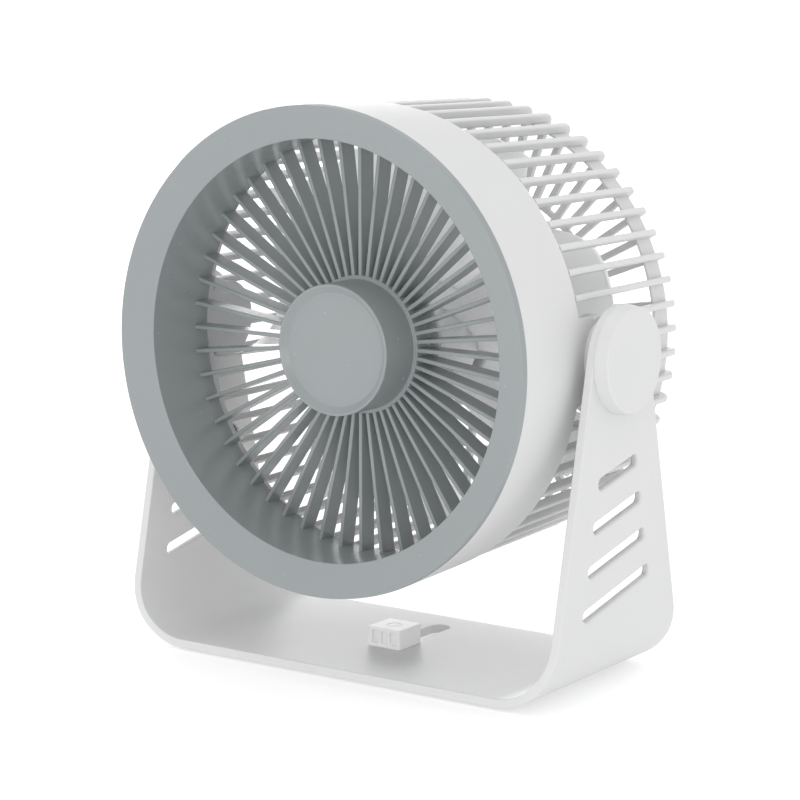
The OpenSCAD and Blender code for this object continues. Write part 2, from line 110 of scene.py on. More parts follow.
# Stand, bent from a flat plate. A place on the flat plate is (s, y), with s measured
# along its outer face from the middle of the foot.
HALF_W = STAND_HIGH.x
HALF_DEPTH = (STAND_HIGH.y - STAND_LOW.y) / 2
PLATE_T = HALF_W - (BOSS_OUT + 0.8)
PAD_H = STAND_LOW.z
BEND_R = 28
FLAT_HALF = HALF_W - BEND_R
ARM_FROM = FLAT_HALF + BEND_R * math.pi / 2
AXIS_Z = PIVOT.z / MM
STAND_Y = PIVOT.y / MM
PLAIN_EDGE, SLOT_EDGE = 0.5, 1.1        # how round the plate's edges are


# ---- Camera, light and floor ----

def look_at(obj, target):
    obj.rotation_euler = (Vector(target) - obj.location).to_track_quat("-Z", "Y").to_euler()


def make_camera():
    data = bpy.data.cameras.new("camera")
    data.lens = 122.3
    data.sensor_width = 36
    data.clip_start = 0.01
    data.clip_end = 200
    camera = bpy.data.objects.new("camera", data)
    bpy.context.scene.collection.objects.link(camera)
    yaw, pitch, distance = math.radians(34.71), math.radians(9.95), 1.1415
    target = PIVOT + Vector((0.6, 0, -27.1)) * MM
    camera.location = target + distance * Vector(
        (math.cos(pitch) * math.sin(yaw), -math.cos(pitch) * math.cos(yaw), math.sin(pitch)))
    look_at(camera, target)
    bpy.context.scene.camera = camera


def area_light(name, place, target, size, power):
    """A soft box of a size and power; place and target are in metres from PIVOT."""
    data = bpy.data.lights.new(name, "AREA")
    data.shape = "RECTANGLE"
    data.size, data.size_y = size
    data.energy = power
    light = bpy.data.objects.new(name, data)
    bpy.context.scene.collection.objects.link(light)
    light.location = PIVOT + Vector(place)
    look_at(light, PIVOT + Vector(target))


def make_lights():
    area_light("key", (-0.9, -1.6, 1.9), (0, 0, 0), (1.6, 1.6), 2)
    area_light("top", (0.1, 0.3, 1.8), (0, 0, 0), (2.2, 2.2), 8)
    area_light("low", (0.9, -2.0, 0.28), (0, 0, -0.1), (1.8, 0.8), 8)
    area_light("back", (-1.35, 1.95, 0.22), (0, 0, -0.12), (3.2, 0.9), 34)


def make_world():
    """A white studio, a little brighter near the horizon than overhead."""
    world = bpy.data.worlds.new("studio")
    world.use_nodes = True
    tree = world.node_tree
    back = tree.nodes["Background"]
    back.inputs["Color"].default_value = (1, 1, 1, 1)
    direction = tree.nodes.new("ShaderNodeTexCoord").outputs["Generated"]
    parts = tree.nodes.new("ShaderNodeSeparateXYZ")
    fade = tree.nodes.new("ShaderNodeMapRange")
    fade.interpolation_type = "SMOOTHSTEP"
    for key, number in (("From Min", 0.05), ("From Max", 0.6), ("To Min", 1.06), ("To Max", 0.86)):
        fade.inputs[key].default_value = number
    tree.links.new(direction, parts.inputs["Vector"])
    tree.links.new(parts.outputs["Z"], fade.inputs["Value"])
    tree.links.new(fade.outputs["Result"], back.inputs["Strength"])
    bpy.context.scene.world = world


def make_floor():
    """White paper that is lit a little from within, so that it ends up as white as the background."""
    mesh = bpy.data.meshes.new("floor")
    side = 30.0
    corners = [(-side, -side, 0), (side, -side, 0), (side, side, 0), (-side, side, 0)]
    mesh.from_pydata(corners, [], [(0, 1, 2, 3)])
    floor = bpy.data.objects.new("floor", mesh)
    bpy.context.scene.collection.objects.link(floor)
    material = bpy.data.materials.new("floor_paper")
    material.use_nodes = True
    shader = material.node_tree.nodes["Principled BSDF"]
    shader.inputs["Base Color"].default_value = (0.75, 0.75, 0.75, 1)
    shader.inputs["Emission Color"].default_value = (1, 1, 1, 1)
    shader.inputs["Emission Strength"].default_value = 0.36
    shader.inputs["Roughness"].default_value = 0.9
    shader.inputs["Specular IOR Level"].default_value = 0.1
    mesh.materials.append(material)


# ---- Materials ----

MATERIALS = {}


class Nodes:
    """Short names for building one material's node tree, and the material's entry in MATERIALS."""

    def __init__(self, name):
        material = bpy.data.materials.new(name)
        material.use_nodes = True
        MATERIALS[name] = material
        self.tree = material.node_tree
        self.shader = self.tree.nodes["Principled BSDF"]
        self.place = self.tree.nodes.new("ShaderNodeTexCoord").outputs["Object"]

    def add(self, kind, **inputs):
        node = self.tree.nodes.new(kind)
        for key, value in inputs.items():
            node.inputs[key.replace("_", " ")].default_value = value
        return node

    def link(self, source, target):
        self.tree.links.new(source, target)

    def paint(self, colour, rough):
        """Links the shader's colour and roughness."""
        self.link(colour, self.shader.inputs["Base Color"])
        self.link(rough, self.shader.inputs["Roughness"])

    def noise(self, scale, detail=2.0, rough=0.5, stretch=None):
        place = self.place
        if stretch:
            mapping = self.add("ShaderNodeMapping")
            mapping.inputs["Scale"].default_value = stretch
            self.link(place, mapping.inputs["Vector"])
            place = mapping.outputs["Vector"]
        node = self.add("ShaderNodeTexNoise", Scale=scale, Detail=detail, Roughness=rough)
        self.link(place, node.inputs["Vector"])
        return node.outputs["Fac"]

    def ranged(self, value, low, high, to_low, to_high):
        node = self.tree.nodes.new("ShaderNodeMapRange")
        for key, number in zip(("From Min", "From Max", "To Min", "To Max"), (low, high, to_low, to_high)):
            node.inputs[key].default_value = number
        self.link(value, node.inputs["Value"])
        return node.outputs["Result"]

    def mixed(self, factor, a, b):
        """A colour between a and b; each is a colour or a socket."""
        node = self.tree.nodes.new("ShaderNodeMix")
        node.data_type = "RGBA"
        self.link(factor, node.inputs["Factor"])
        for index, value in ((6, a), (7, b)):
            if isinstance(value, bpy.types.NodeSocket):
                self.link(value, node.inputs[index])
            else:
                node.inputs[index].default_value = (*value, 1)
        return node.outputs[2]

    def maths(self, operation, a, b, clamp=True):
        """The result of an operation on a and b; each is a number or a socket."""
        node = self.tree.nodes.new("ShaderNodeMath")
        node.operation = operation
        node.use_clamp = clamp
        for socket, value in zip(node.inputs, (a, b)):
            if isinstance(value, bpy.types.NodeSocket):
                self.link(value, socket)
            else:
                socket.default_value = value
        return node.outputs[0]

    def edges(self, low=0.53, high=0.62):
        """1 on convex edges, 0 elsewhere."""
        node = self.tree.nodes.new("ShaderNodeNewGeometry")
        return self.ranged(node.outputs["Pointiness"], low, high, 0, 1)

    def bump(self, height, depth_mm):
        node = self.add("ShaderNodeBump", Strength=1.0, Distance=depth_mm * MM)
        self.link(height, node.inputs["Height"])
        self.link(node.outputs["Normal"], self.shader.inputs["Normal"])


def scaled(colour, factor):
    return tuple(min(1.0, c * factor) for c in colour)


def plastic(name, colour, rough, vary, grain=0.012, grain_scale=2600, worn=1.06, through=0.0):
    """Moulded plastic: fine spark-eroded grain, faint flow mottling, and edges a little lighter and
    smoother. Through is the part of the light that scatters inside it."""
    n = Nodes(name)
    mottle = n.ranged(n.noise(38, 3, 0.6), 0.3, 0.7, 0, 1)
    flow = n.ranged(n.noise(9, 2, 0.5, stretch=(1, 0.35, 1)), 0.35, 0.65, 0, 1)
    tone = n.mixed(mottle, scaled(colour, 1 - vary), scaled(colour, 1 + vary * 0.6))
    cool = (colour[0] * 0.985, colour[1], colour[2] * 1.01)
    tone = n.mixed(n.maths("MULTIPLY", flow, 0.35), tone, scaled(cool, 1 - vary * 0.5))
    rub = n.maths("MULTIPLY", n.edges(), n.ranged(n.noise(160, 3, 0.7), 0.35, 0.7, 0.25, 1))
    tone = n.mixed(rub, tone, scaled(colour, worn))
    spread = n.ranged(n.noise(220, 4, 0.65), 0.25, 0.75, rough * 0.93, rough * 1.07)
    n.paint(tone, n.maths("SUBTRACT", spread, n.maths("MULTIPLY", rub, 0.08)))
    pits = n.noise(grain_scale, 2, 0.55)
    waves = n.maths("MULTIPLY", n.noise(90, 1, 0.5), 0.07)
    n.bump(n.maths("ADD", pits, waves, clamp=False), grain)
    n.shader.inputs["IOR"].default_value = 1.5
    n.shader.inputs["Subsurface Weight"].default_value = through
    n.shader.inputs["Subsurface Radius"].default_value = (1, 1, 1)
    n.shader.inputs["Subsurface Scale"].default_value = 4 * MM


def metal(name, colour, rough, brushed=(1, 1, 1), vary=0.08, grain=0.006):
    """Metal with fine scratches, drawn out along the axis where brushed is small."""
    n = Nodes(name)
    stain = n.ranged(n.noise(90, 4, 0.6), 0.3, 0.7, 0, 1)
    lines = n.noise(900, 3, 0.6, stretch=brushed)
    tone = n.mixed(stain, scaled(colour, 1 - vary), scaled(colour, 1 + vary * 0.5))
    n.paint(n.mixed(n.edges(0.52, 0.6), tone, scaled(colour, 1.15)),
            n.ranged(lines, 0.25, 0.75, rough - 0.08, rough + 0.12))
    n.bump(lines, grain)
    n.shader.inputs["Metallic"].default_value = 1


def board_resin(name, colour):
    """Circuit board: dark mask with faint straight tracks."""
    n = Nodes(name)
    tracks = n.noise(420, 1, 0.3, stretch=(0.15, 1, 1))
    lit = n.ranged(tracks, 0.5, 0.56, 0, 1)
    n.paint(n.mixed(lit, colour, scaled(colour, 1.5)), n.ranged(n.noise(300), 0.3, 0.7, 0.3, 0.42))
    n.bump(tracks, 0.02)


def clear(name, colour):
    """Clear plastic with a faint haze."""
    n = Nodes(name)
    haze = n.ranged(n.noise(260, 3), 0.3, 0.7, 0, 1)
    n.paint(n.mixed(haze, scaled(colour, 0.95), colour), n.ranged(n.noise(500), 0.3, 0.7, 0.12, 0.22))
    n.bump(n.noise(1500), 0.004)
    n.shader.inputs["Transmission Weight"].default_value = 0.7
    n.shader.inputs["IOR"].default_value = 1.49


GREY = (0.29, 0.314, 0.318)
WHITE = (0.66, 0.66, 0.66)


def make_materials():
    plastic("grey_front", GREY, rough=0.26, vary=0.012, grain=0.006)
    plastic("white_shell", WHITE, rough=0.46, vary=0.012, worn=1.02)
    plastic("white_stand", WHITE, rough=0.5, vary=0.012, worn=1.02)
    plastic("white_clip", (0.9, 0.9, 0.895), rough=0.42, vary=0.015, worn=1.03)
    plastic("white_blade", (0.88, 0.88, 0.885), rough=0.34, vary=0.015, worn=1.04, through=0.8)
    plastic("button_grey", (0.62, 0.63, 0.64), rough=0.4, vary=0.03)
    plastic("foot_rubber", (0.55, 0.56, 0.56), rough=0.75, vary=0.06, grain=0.03, grain_scale=1700)
    plastic("bush_plastic", (0.26, 0.27, 0.275), rough=0.4, vary=0.05)
    plastic("fibre_washer", (0.16, 0.155, 0.15), rough=0.8, vary=0.15, grain=0.05, grain_scale=1400)
    metal("steel", (0.56, 0.57, 0.58), rough=0.28, brushed=(1, 0.06, 1))
    metal("rotor_steel", (0.5, 0.5, 0.51), rough=0.34, brushed=(1, 0.04, 1), vary=0.12)
    metal("brass", (0.72, 0.52, 0.24), rough=0.3, brushed=(0.05, 1, 1))
    metal("motor_alloy", (0.55, 0.56, 0.57), rough=0.42, vary=0.1, grain=0.02)
    metal("lamination", (0.24, 0.245, 0.26), rough=0.45, brushed=(0.05, 1.6, 0.05), vary=0.2, grain=0.03)
    metal("copper_wire", (0.62, 0.27, 0.11), rough=0.3, brushed=(0.05, 1.2, 0.05), vary=0.15, grain=0.05)
    plastic("magnet", (0.045, 0.047, 0.05), rough=0.5, vary=0.2, grain=0.03)
    board_resin("board_green", (0.02, 0.11, 0.05))
    plastic("chip_black", (0.02, 0.021, 0.022), rough=0.45, vary=0.2, grain=0.02)
    plastic("lead_red", (0.42, 0.03, 0.02), rough=0.4, vary=0.08)
    clear("clear_lens", (0.86, 0.93, 0.97))


# ---- Mesh helpers ----

def weigh_normals(piece):
    """Shades broad faces flat up to their rounded edges."""
    smoother = piece.modifiers.new("weighted", "WEIGHTED_NORMAL")
    smoother.keep_sharp = True


def finish_piece(bm, name, body, slot, nodes=(), sharp=35, weighted=True):
    """Turns a bmesh in metres into a piece that rides on a body and stands for CAD nodes."""
    bmesh.ops.remove_doubles(bm, verts=bm.verts, dist=1e-6)
    bmesh.ops.recalc_face_normals(bm, faces=bm.faces)
    mesh = bpy.data.meshes.new(name)
    bm.to_mesh(mesh)
    bm.free()
    mesh.polygons.foreach_set("use_smooth", [True] * len(mesh.polygons))
    mesh.set_sharp_from_angle(angle=math.radians(sharp))
    mesh.materials.append(MATERIALS[slot])
    piece = bpy.data.objects.new(name, mesh)
    bpy.context.scene.collection.objects.link(piece)
    if weighted:
        weigh_normals(piece)
    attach(piece, body)
    if nodes:
        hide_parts(*nodes)
    return piece


def rounded(corners, closed=True, steps=4):
    """Corners as (u, v, radius) become a list of (u, v), with an arc at each corner that has a radius."""
    points = []
    count = len(corners)
    for i, (u, v, radius) in enumerate(corners):
        here = Vector((u, v))
        if radius <= 0 or (not closed and i in (0, count - 1)):
            points.append((u, v))
            continue
        before = (Vector(corners[i - 1][:2]) - here).normalized()
        after = (Vector(corners[(i + 1) % count][:2]) - here).normalized()
        half = before.angle(after) / 2
        centre = here + (before + after).normalized() * radius / math.sin(half)
        reach = radius / math.tan(half)
        first = here + before * reach - centre
        last = here + after * reach - centre
        a0 = math.atan2(first.y, first.x)
        turn = (math.atan2(last.y, last.x) - a0 + math.pi) % (2 * math.pi) - math.pi
        for k in range(steps + 1):
            a = a0 + turn * k / steps
            points.append((centre.x + radius * math.cos(a), centre.y + radius * math.sin(a)))
    return points


def fan_point(r, y, angle, centre=PIVOT):
    """A point at a radius, a place along the fan axis and an angle round it, in metres."""
    return centre + Vector((r * math.cos(angle), y, r * math.sin(angle))) * MM


def tilt_point(r, x, angle, centre=PIVOT):
    """A point at a radius round the tilt axis, and a place along it."""
    return centre + Vector((x, r * math.cos(angle), r * math.sin(angle))) * MM


def upright_point(r, z, angle, centre):
    """A point at a radius round a vertical axis through centre."""
    return centre + Vector((r * math.cos(angle), r * math.sin(angle), z)) * MM


def spoke(angle):
    """The ways out from the fan axis and across it, at an angle round it."""
    return Vector((math.cos(angle), 0, math.sin(angle))), Vector((-math.sin(angle), 0, math.cos(angle)))


def skin(bm, loop, after):
    """Faces between two closed loops of as many vertices."""
    for k in range(len(loop)):
        n = (k + 1) % len(loop)
        bm.faces.new((loop[k], loop[n], after[n], after[k]))


def lathe(bm, profile, segments=192, place=fan_point, closed=True, centre=PIVOT):
    """Turns a profile of (radius, along) round an axis. An open profile starts and ends on the axis."""
    turns = [2 * math.pi * k / segments for k in range(segments)]
    rings = []
    for r, along in profile:
        angles = turns if r >= 1e-6 else [0]
        rings.append([bm.verts.new(place(r, along, angle, centre)) for angle in angles])
    pairs = zip(rings, rings[1:] + rings[:1]) if closed else zip(rings, rings[1:])
    for a, b in pairs:
        for k in range(segments):
            n = (k + 1) % segments
            corners = [a[0] if len(a) == 1 else a[k], b[0] if len(b) == 1 else b[k],
                       b[0] if len(b) == 1 else b[n], a[0] if len(a) == 1 else a[n]]
            corners = [v for i, v in enumerate(corners) if v not in corners[:i]]
            if len(corners) > 2:
                bm.faces.new(corners)


def turned_piece(name, corners, body, slot, nodes=(), segments=192, place=fan_point, closed=True, steps=4,
                 centre=PIVOT):
    """A lathed piece; its corners are (radius, along, rounding)."""
    bm = bmesh.new()
    lathe(bm, rounded(corners, closed, steps), segments, place, closed, centre)
    return finish_piece(bm, name, body, slot, nodes)


def loft(bm, sections):
    """Skins closed sections of equal point counts, and closes the ends."""
    loops = [[bm.verts.new(p) for p in section] for section in sections]
    for a, b in zip(loops, loops[1:]):
        skin(bm, a, b)
    bm.faces.new(loops[0])
    bm.faces.new(list(reversed(loops[-1])))


def bar_section(width, height, radius):
    """A rectangle with round corners, about its middle."""
    w, h = width / 2, height / 2
    return rounded([(-w, -h, radius), (w, -h, radius), (w, h, radius), (-w, h, radius)], True, 3)


# ---- Front of the head ----

def make_bezel():
    """The grey ring with its dished face, and the funnel wall behind it."""
    lip_r = OUTLET_R + 2
    spigot_r, spigot_wall = HEAD_R - 2.6, 2
    spigot_end = DRUM_FRONT + 4.9
    seam = DRUM_FRONT - 0.12
    turned_piece("bezel_ring", [
        (OUTLET_R - 1, FRONT + 5, 0.4), (HEAD_R - 0.7, FRONT, 0.15), (HEAD_R - 0.4, FRONT + 0.3, 0.1),
        (HEAD_R, seam, 0.15), (spigot_r, seam, 0.2),
        (spigot_r, spigot_end, 0.4), (spigot_r - spigot_wall, spigot_end, 0.4),
        (spigot_r - spigot_wall, FRONT + 3.6, 0.6), (lip_r, FRONT + 6.5, 1.2),
        (lip_r, FUNNEL_END, 0.4), (OUTLET_R, FUNNEL_END, 0.4)],
        "head", "grey_front", ["front_bezel"], 256)


def make_fins():
    """Straight fins from the hub barrel out to the rim."""
    section = bar_section(FIN_T, FIN_DEPTH, 0.42)
    middle_y = FIN_FRONT + FIN_DEPTH / 2
    stations = (HUB_R + 0.8, HUB_R + 20, HUB_R + 40, OUTLET_R + 0.6)
    bm = bmesh.new()
    for i in range(FIN_COUNT):
        out, across = spoke(math.radians(-90 + i * 360 / FIN_COUNT))
        loft(bm, [[PIVOT + (out * r + across * u + Vector((0, middle_y + v, 0))) * MM for u, v in section]
                  for r in stations])
    finish_piece(bm, "grille_fins", "head", "grey_front", ["front_grille"], 40)


def make_hub_barrel():
    """The barrel in the middle, with a flange where the fins start."""
    mouth, bore_r = HUB_FRONT + 0.05, HUB_R - 2
    flange_r, flange_front, barrel_end = HUB_R + 1.6, FIN_FRONT - 0.3, FIN_REAR + 0.3
    turned_piece("hub_barrel", [
        (bore_r, HUB_FRONT + 0.95, 0), (HUB_R - 0.9, mouth, 0.5), (HUB_R, mouth, 0.7),
        (HUB_R, flange_front, 0.5), (flange_r, flange_front, 0.5),
        (flange_r, barrel_end, 0.4), (bore_r, barrel_end, 0.4)],
        "head", "grey_front", (), 160)


def make_rim():
    """The ring that carries the fins' outer ends, behind the funnel."""
    outer_r, rim_front = OUTLET_R + 2, FUNNEL_END - 0.2
    turned_piece("grille_rim", [
        (outer_r, rim_front, 0.3), (outer_r, FIN_REAR, 0.5),
        (OUTLET_R, FIN_REAR, 0.5), (OUTLET_R, rim_front, 0.1)],
        "head", "grey_front")


def make_hub_disc():
    """The recessed disc in the barrel's mouth."""
    disc_r, disc_front, disc_back = HUB_HIGH.x, HUB_FRONT + 2.25, HUB_FRONT + 4.2
    turned_piece("hub_disc", [
        (0, disc_front, 0), (disc_r - 1.5, disc_front, 0.5), (disc_r + 0.2, HUB_FRONT + 0.86, 0),
        (disc_r + 0.2, HUB_HIGH.y, 0.1), (disc_r - 1.6, HUB_HIGH.y, 0.3),
        (disc_r - 1.6, disc_back, 0.5), (0, disc_back, 0)],
        "head", "grey_front", ["hub_cap"], 160, closed=False)


# ---- Drum, bosses and cage ----

def drum_angles():
    """Angles round the drum, closer together at the edges of the two tabs."""
    angles = []
    for side in (0, 180):
        for a0, a1, step in ((-11, -9, 0.1), (-9, 9, 1.0), (9, 11, 0.1), (11, 169, 1.5)):
            angles += [math.radians(side + a) for a in np.arange(a0, a1, step)]
    return angles


def make_drum():
    """The drum, whose skin runs on behind its rear edge as a tab on each side, over the pivots."""
    rear_r, lip_r, edge_round = HEAD_R - 1.4, 91.3, 2.6
    front_r = HEAD_R - 2.4
    tab_half, tab_long, tab_side = 17.2, 11.0, 0.5
    tab_from, skin_inside = DRUM_END - 2.9, 94
    outer = rounded([
        (HEAD_R - 2.35, DRUM_FRONT + 0.1, 0), (HEAD_R, DRUM_FRONT + 0.1, 0.3), (rear_r, DRUM_END, edge_round),
        (lip_r, DRUM_END, 0.4), (lip_r, DRUM_END - edge_round, 0)], False, 6)
    # Two more rings keep the tabs' shading off the drum's long side
    bend = next(i for i, p in enumerate(outer) if p[1] > DRUM_END - 4)
    for back in (3.0, 3.4):
        t = (DRUM_END - back - DRUM_FRONT) / (DRUM_END - DRUM_FRONT)
        outer.insert(bend, (HEAD_R + (rear_r - HEAD_R) * t, DRUM_END - back))
    inner = [(rear_r - 3, DRUM_END - edge_round), (front_r, DRUM_FRONT + 6), (front_r, DRUM_FRONT + 0.4)]
    bm = bmesh.new()
    rings = []
    for r, y in outer + inner:
        ring = []
        for angle in drum_angles():
            over = 0.0
            if y > tab_from and r > skin_inside:
                from_side = (tab_half - abs(r * math.sin(angle))) / tab_side
                over = tab_long * min(1.0, max(0.0, from_side))
            ring.append(bm.verts.new(fan_point(r, y + over, angle)))
        rings.append(ring)
    for a, b in zip(rings, rings[1:] + rings[:1]):
        skin(bm, a, b)
    finish_piece(bm, "drum_skin", "head", "white_shell", ["drum_shell"], 40)


def make_bosses():
    """The stepped boss on each side, from inside the drum out to the arm."""
    base, step, wide_r, narrow_r = 90.5, 97.6, 16.8, 14.2
    for side, name in ((-1, "left_boss"), (1, "right_boss")):
        turned_piece(name, [
            (0, side * base, 0), (wide_r, side * base, 0.5), (wide_r, side * step, 0.8),
            (narrow_r, side * step, 1.0), (narrow_r, side * BOSS_OUT, 0.4), (0, side * BOSS_OUT, 0)],
            "head", "white_shell", (), 96, tilt_point, False)


def rib_path(inner):
    """Centre line of a rib, as (radius, y), from the drum to the inner end of its bar."""
    bar_y, bar_from, corner_round = REAR - RIB_DEPTH / 2, 90, 2.1
    start, corner = (96.0, DRUM_END + 0.2), (93.9, bar_y)
    line = [start]
    for t in np.linspace(0.15, 0.9, 4):
        line.append((start[0] + (corner[0] - start[0]) * t, start[1] + (corner[1] - start[1]) * t))
    line += rounded([start + (0,), corner + (corner_round,), (inner, bar_y, 0)], False, 6)[1:-1]
    line.append(((inner + bar_from) / 2, bar_y))
    line.append((inner, bar_y))
    return line


def make_ribs():
    """Ribs that run back from the drum and turn in as rear bars, every second one only to the mid ring."""
    section = bar_section(RIB_W, RIB_DEPTH, 0.85)
    bm = bmesh.new()
    for i in range(RIB_COUNT):
        out, across = spoke(math.radians(RIB_PHASE + i * 360 / RIB_COUNT))
        line = rib_path(CUP_R - 1 if i % 2 == 0 else MID_RING_R)
        sections = []
        for k, (r, y) in enumerate(line):
            before, after = line[max(k - 1, 0)], line[min(k + 1, len(line) - 1)]
            way = Vector((after[0] - before[0], after[1] - before[1])).normalized()
            normal = out * way.y + Vector((0, -way.x, 0))
            centre = out * r + Vector((0, y, 0))
            sections.append([PIVOT + (centre + across * u + normal * v) * MM for u, v in section])
        loft(bm, sections)
    finish_piece(bm, "cage_ribs", "head", "white_shell", ["rear_cage"], 40)


def cage_ring(name, inner_r, outer_r, y0, y1, rounding, segments=192):
    """A plain ring of the cage; rounding is for its outer and its inner pair of edges."""
    outer_round, inner_round = rounding
    turned_piece(name, [
        (outer_r, y0, outer_round[0]), (outer_r, y1, outer_round[1]),
        (inner_r, y1, inner_round[0]), (inner_r, y0, inner_round[1])],
        "head", "white_shell", (), segments)


def make_cage_rings():
    """The hoop inside the ribs, the collar at the drum, the mid ring and the motor's cup."""
    cage_ring("cage_hoop", 91.2, 92.4, REAR - 14.5, REAR - 3.7, ((0.4, 0.3), (0.3, 0.4)))
    cage_ring("cage_collar", 91.3, 95, DRUM_END + 0.2, DRUM_END + 3.8, ((0.3, 0.6), (0.6, 0.3)))
    cage_ring("cage_mid_ring", MID_RING_R - 1.2, MID_RING_R + 1.2, REAR - 3.4, REAR - 0.6,
              ((0.6, 0.6), (0.6, 0.6)), 128)
    floor_front, floor_back, cup_end = 28.5, 31.0, REAR - 0.3
    turned_piece("cage_cup", [
        (0, floor_front, 0), (CUP_R, floor_front, 1.6), (CUP_R, cup_end, 0.6), (CUP_R - 2, cup_end, 0.4),
        (CUP_R - 2, floor_back, 0.8), (0, floor_back, 0)], "head", "white_shell", (), 128, closed=False)


# ---- Impeller ----

def blade_point(span, s, side):
    """A point of a blade as (radius, y, angle): span runs from root to tip, s from the intake edge to the
    outlet edge, and side is 1 behind the camber line and -1 in front of it."""
    start, turn = -24 + 25 * span, 52 - 25 * span
    depth, curl = 25 + 10 * span, 1.5 + 4.5 * span ** 2
    half_t = 0.25 + 0.95 * math.sin(math.pi * s)
    y = 23 + 9.5 * span ** 0.7 - depth * s ** curl
    r = BLADE_ROOT_R + (BLADE_TIP_R - BLADE_ROOT_R) * span
    return r, y + side * half_t, math.radians(start + turn * s)


def make_impeller():
    """The hub, and the blades as closed lofts from root to tip."""
    hub_r, wall, front, back, cup_floor, bore_r = 25.0, 1.8, IMPELLER_LOW.y, 24, -2, 1.5
    turned_piece("impeller_hub", [
        (bore_r, front, 0.2), (hub_r, front, 1.6), (hub_r, back, 0.5), (hub_r - wall, back, 0.4),
        (hub_r - wall, cup_floor, 0.8), (bore_r, cup_floor, 0.2)],
        "impeller", "white_blade", ["impeller"], 128)
    spans, chords = 20, 22
    places = [math.sin(math.pi / 2 * k / chords) for k in range(chords + 1)]
    ring = [(s, 1) for s in places] + [(s, -1) for s in reversed(places)]
    bm = bmesh.new()
    for i in range(BLADE_COUNT):
        phase = math.radians(BLADE_PHASE + i * 360 / BLADE_COUNT)
        sections = []
        for j in range(spans + 1):
            section = []
            for s, side in ring:
                r, y, angle = blade_point(j / spans, s, side)
                section.append(fan_point(r, y, angle + phase))
            sections.append(section)
        loft(bm, sections)
    finish_piece(bm, "impeller_blades", "impeller", "white_blade", (), 50)


# ---- Stand ----

def arm_height(s):
    """Height above the table of the outer face, at s on the flat plate."""
    if s <= FLAT_HALF:
        return PAD_H
    if s <= ARM_FROM:
        return PAD_H + BEND_R * (1 - math.cos((s - FLAT_HALF) / BEND_R))
    return PAD_H + BEND_R + s - ARM_FROM


def along_plate(z):
    """The length along the outer face that reaches a height on an arm."""
    if z < PAD_H + BEND_R:
        return FLAT_HALF + BEND_R * math.acos(1 - (z - PAD_H) / BEND_R)
    return ARM_FROM + z - PAD_H - BEND_R


def bent(s, y, depth):
    """The point of the flat plate at (s, y), a depth in from its outer face, after bending."""
    side = -1 if s < 0 else 1
    length = abs(s)
    if length <= FLAT_HALF:
        x, z = length, PAD_H + depth
    elif length <= ARM_FROM:
        a = (length - FLAT_HALF) / BEND_R
        r = BEND_R - depth
        x, z = FLAT_HALF + r * math.sin(a), PAD_H + BEND_R - r * math.cos(a)
    else:
        x, z = HALF_W - depth, PAD_H + BEND_R + length - ARM_FROM
    return Vector((side * x, STAND_Y + y, z)) * MM


def soft_ramp(rise, soft):
    """Nothing below -soft and rise above soft, with a smooth bend between."""
    if rise < -soft:
        return 0.0
    if rise < soft:
        return (rise + soft) ** 2 / (4 * soft)
    return rise


def stand_outline():
    """The flat plate's outline, counter-clockwise: a straight foot, leaning edges and round ends."""
    end_r, lean = 21.5, math.atan(0.217)
    lean_from, soft = PAD_H + 13.2, 9.0
    end_z, end_y = AXIS_Z + end_r * math.sin(lean), -end_r * math.cos(lean)
    slope = (HALF_DEPTH + end_y) / (end_z - lean_from)
    edge = [(float(s), -HALF_DEPTH) for s in np.arange(0, FLAT_HALF + 1, 8)]
    for s in np.arange(FLAT_HALF + 2.5, along_plate(end_z), 2.5):
        edge.append((float(s), -HALF_DEPTH + slope * soft_ramp(arm_height(s) - lean_from, soft)))
    arc = [(along_plate(AXIS_Z + end_r * math.sin(a)), -end_r * math.cos(a))
           for a in np.linspace(lean, math.pi - lean, 28)]
    half = edge + arc + [(s, -y) for s, y in reversed(edge)]
    return half + [(-s, y) for s, y in reversed(half) if s > 0.001]


def slot_loop(cx, cy, length, width, tilt):
    """A slot with round ends, clockwise, about (cx, cy) in (s, y)."""
    r, reach = width / 2, (length - width) / 2
    end = np.linspace(-math.pi / 2, math.pi / 2, 9)
    half = [(reach + r * math.cos(a), r * math.sin(a)) for a in end]
    half += [(x, r) for x in np.linspace(reach, -reach, 12)[1:-1]]
    points = half + [(-x, -y) for x, y in half]
    c, s = math.cos(tilt), math.sin(tilt)
    return [(cx + x * s + y * c, cy + x * c - y * s) for x, y in points]


def stand_holes():
    """The holes as (edge rounding, loop): the rail slot in the foot, and in each arm four slanted slots
    that get shorter upwards and the pivot's bore."""
    rail_half, rail_front, rail_back = 4.5, -10.0, 35.5
    end_r = rail_half - 0.01
    rail = rounded([(-rail_half, rail_front, 1.0), (rail_half, rail_front, 1.0),
                    (rail_half, rail_back, end_r), (-rail_half, rail_back, end_r)], True, 8)
    holes = [(PLAIN_EDGE, rail)]
    first_z, pitch, first_long, shorter, slot_w, slot_y = PAD_H + 41, 16.5, 53, 7.3, 4.85, -1.4
    tilt, bore_r = math.radians(11.7), 6.1
    for side in (-1, 1):
        for i in range(4):
            s = side * along_plate(first_z + i * pitch)
            holes.append((SLOT_EDGE, slot_loop(s, slot_y, first_long - i * shorter, slot_w, side * tilt)))
        s = side * along_plate(AXIS_Z)
        turn = np.linspace(0, 2 * math.pi, 33)[:-1]
        holes.append((PLAIN_EDGE, [(s + bore_r * math.cos(a), bore_r * math.sin(a)) for a in turn]))
    return holes


def area_of(loop):
    return sum(a[0] * b[1] - b[0] * a[1] for a, b in zip(loop, loop[1:] + loop[:1])) / 2


